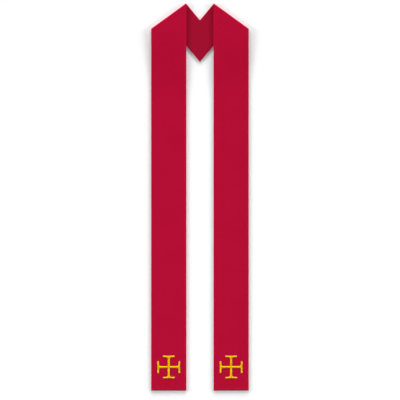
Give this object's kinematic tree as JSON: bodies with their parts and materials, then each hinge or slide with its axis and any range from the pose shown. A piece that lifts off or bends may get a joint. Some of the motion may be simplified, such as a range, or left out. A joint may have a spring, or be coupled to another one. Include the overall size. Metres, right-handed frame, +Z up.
{
  "type": "clerical stole",
  "caption": "Long straight cloth bands folded at slanting shoulders over a V-shaped back neck, with a cross above each hem; laid flat, and worn round the neck at worship.",
  "frame": {"origin": "on the surface that the stole lies on, under the middle of its whole outline", "axes": "+X across the stole towards its right front as seen from above, +Y from the hems to the neck, +Z up from the surface"},
  "size_m": [0.3328, 1.3206, 0.0058],
  "materials": {
    "crimson_cloth": "plain crimson outer cloth, matt, finely woven, with a faint sheen",
    "crimson_lining": "plain lining in a darker crimson, smooth",
    "gold_thread": "golden yellow satin stitch, slightly shiny"
  },
  "bodies": {
    "root": {"front_left": "crimson_cloth", "front_right": "crimson_cloth", "back_neck_left": "crimson_cloth", "back_neck_right": "crimson_cloth", "neck_lining_left": "crimson_lining", "neck_lining_right": "crimson_lining", "cross_left": "gold_thread", "cross_right": "gold_thread"}
  },
  "joints": []
}
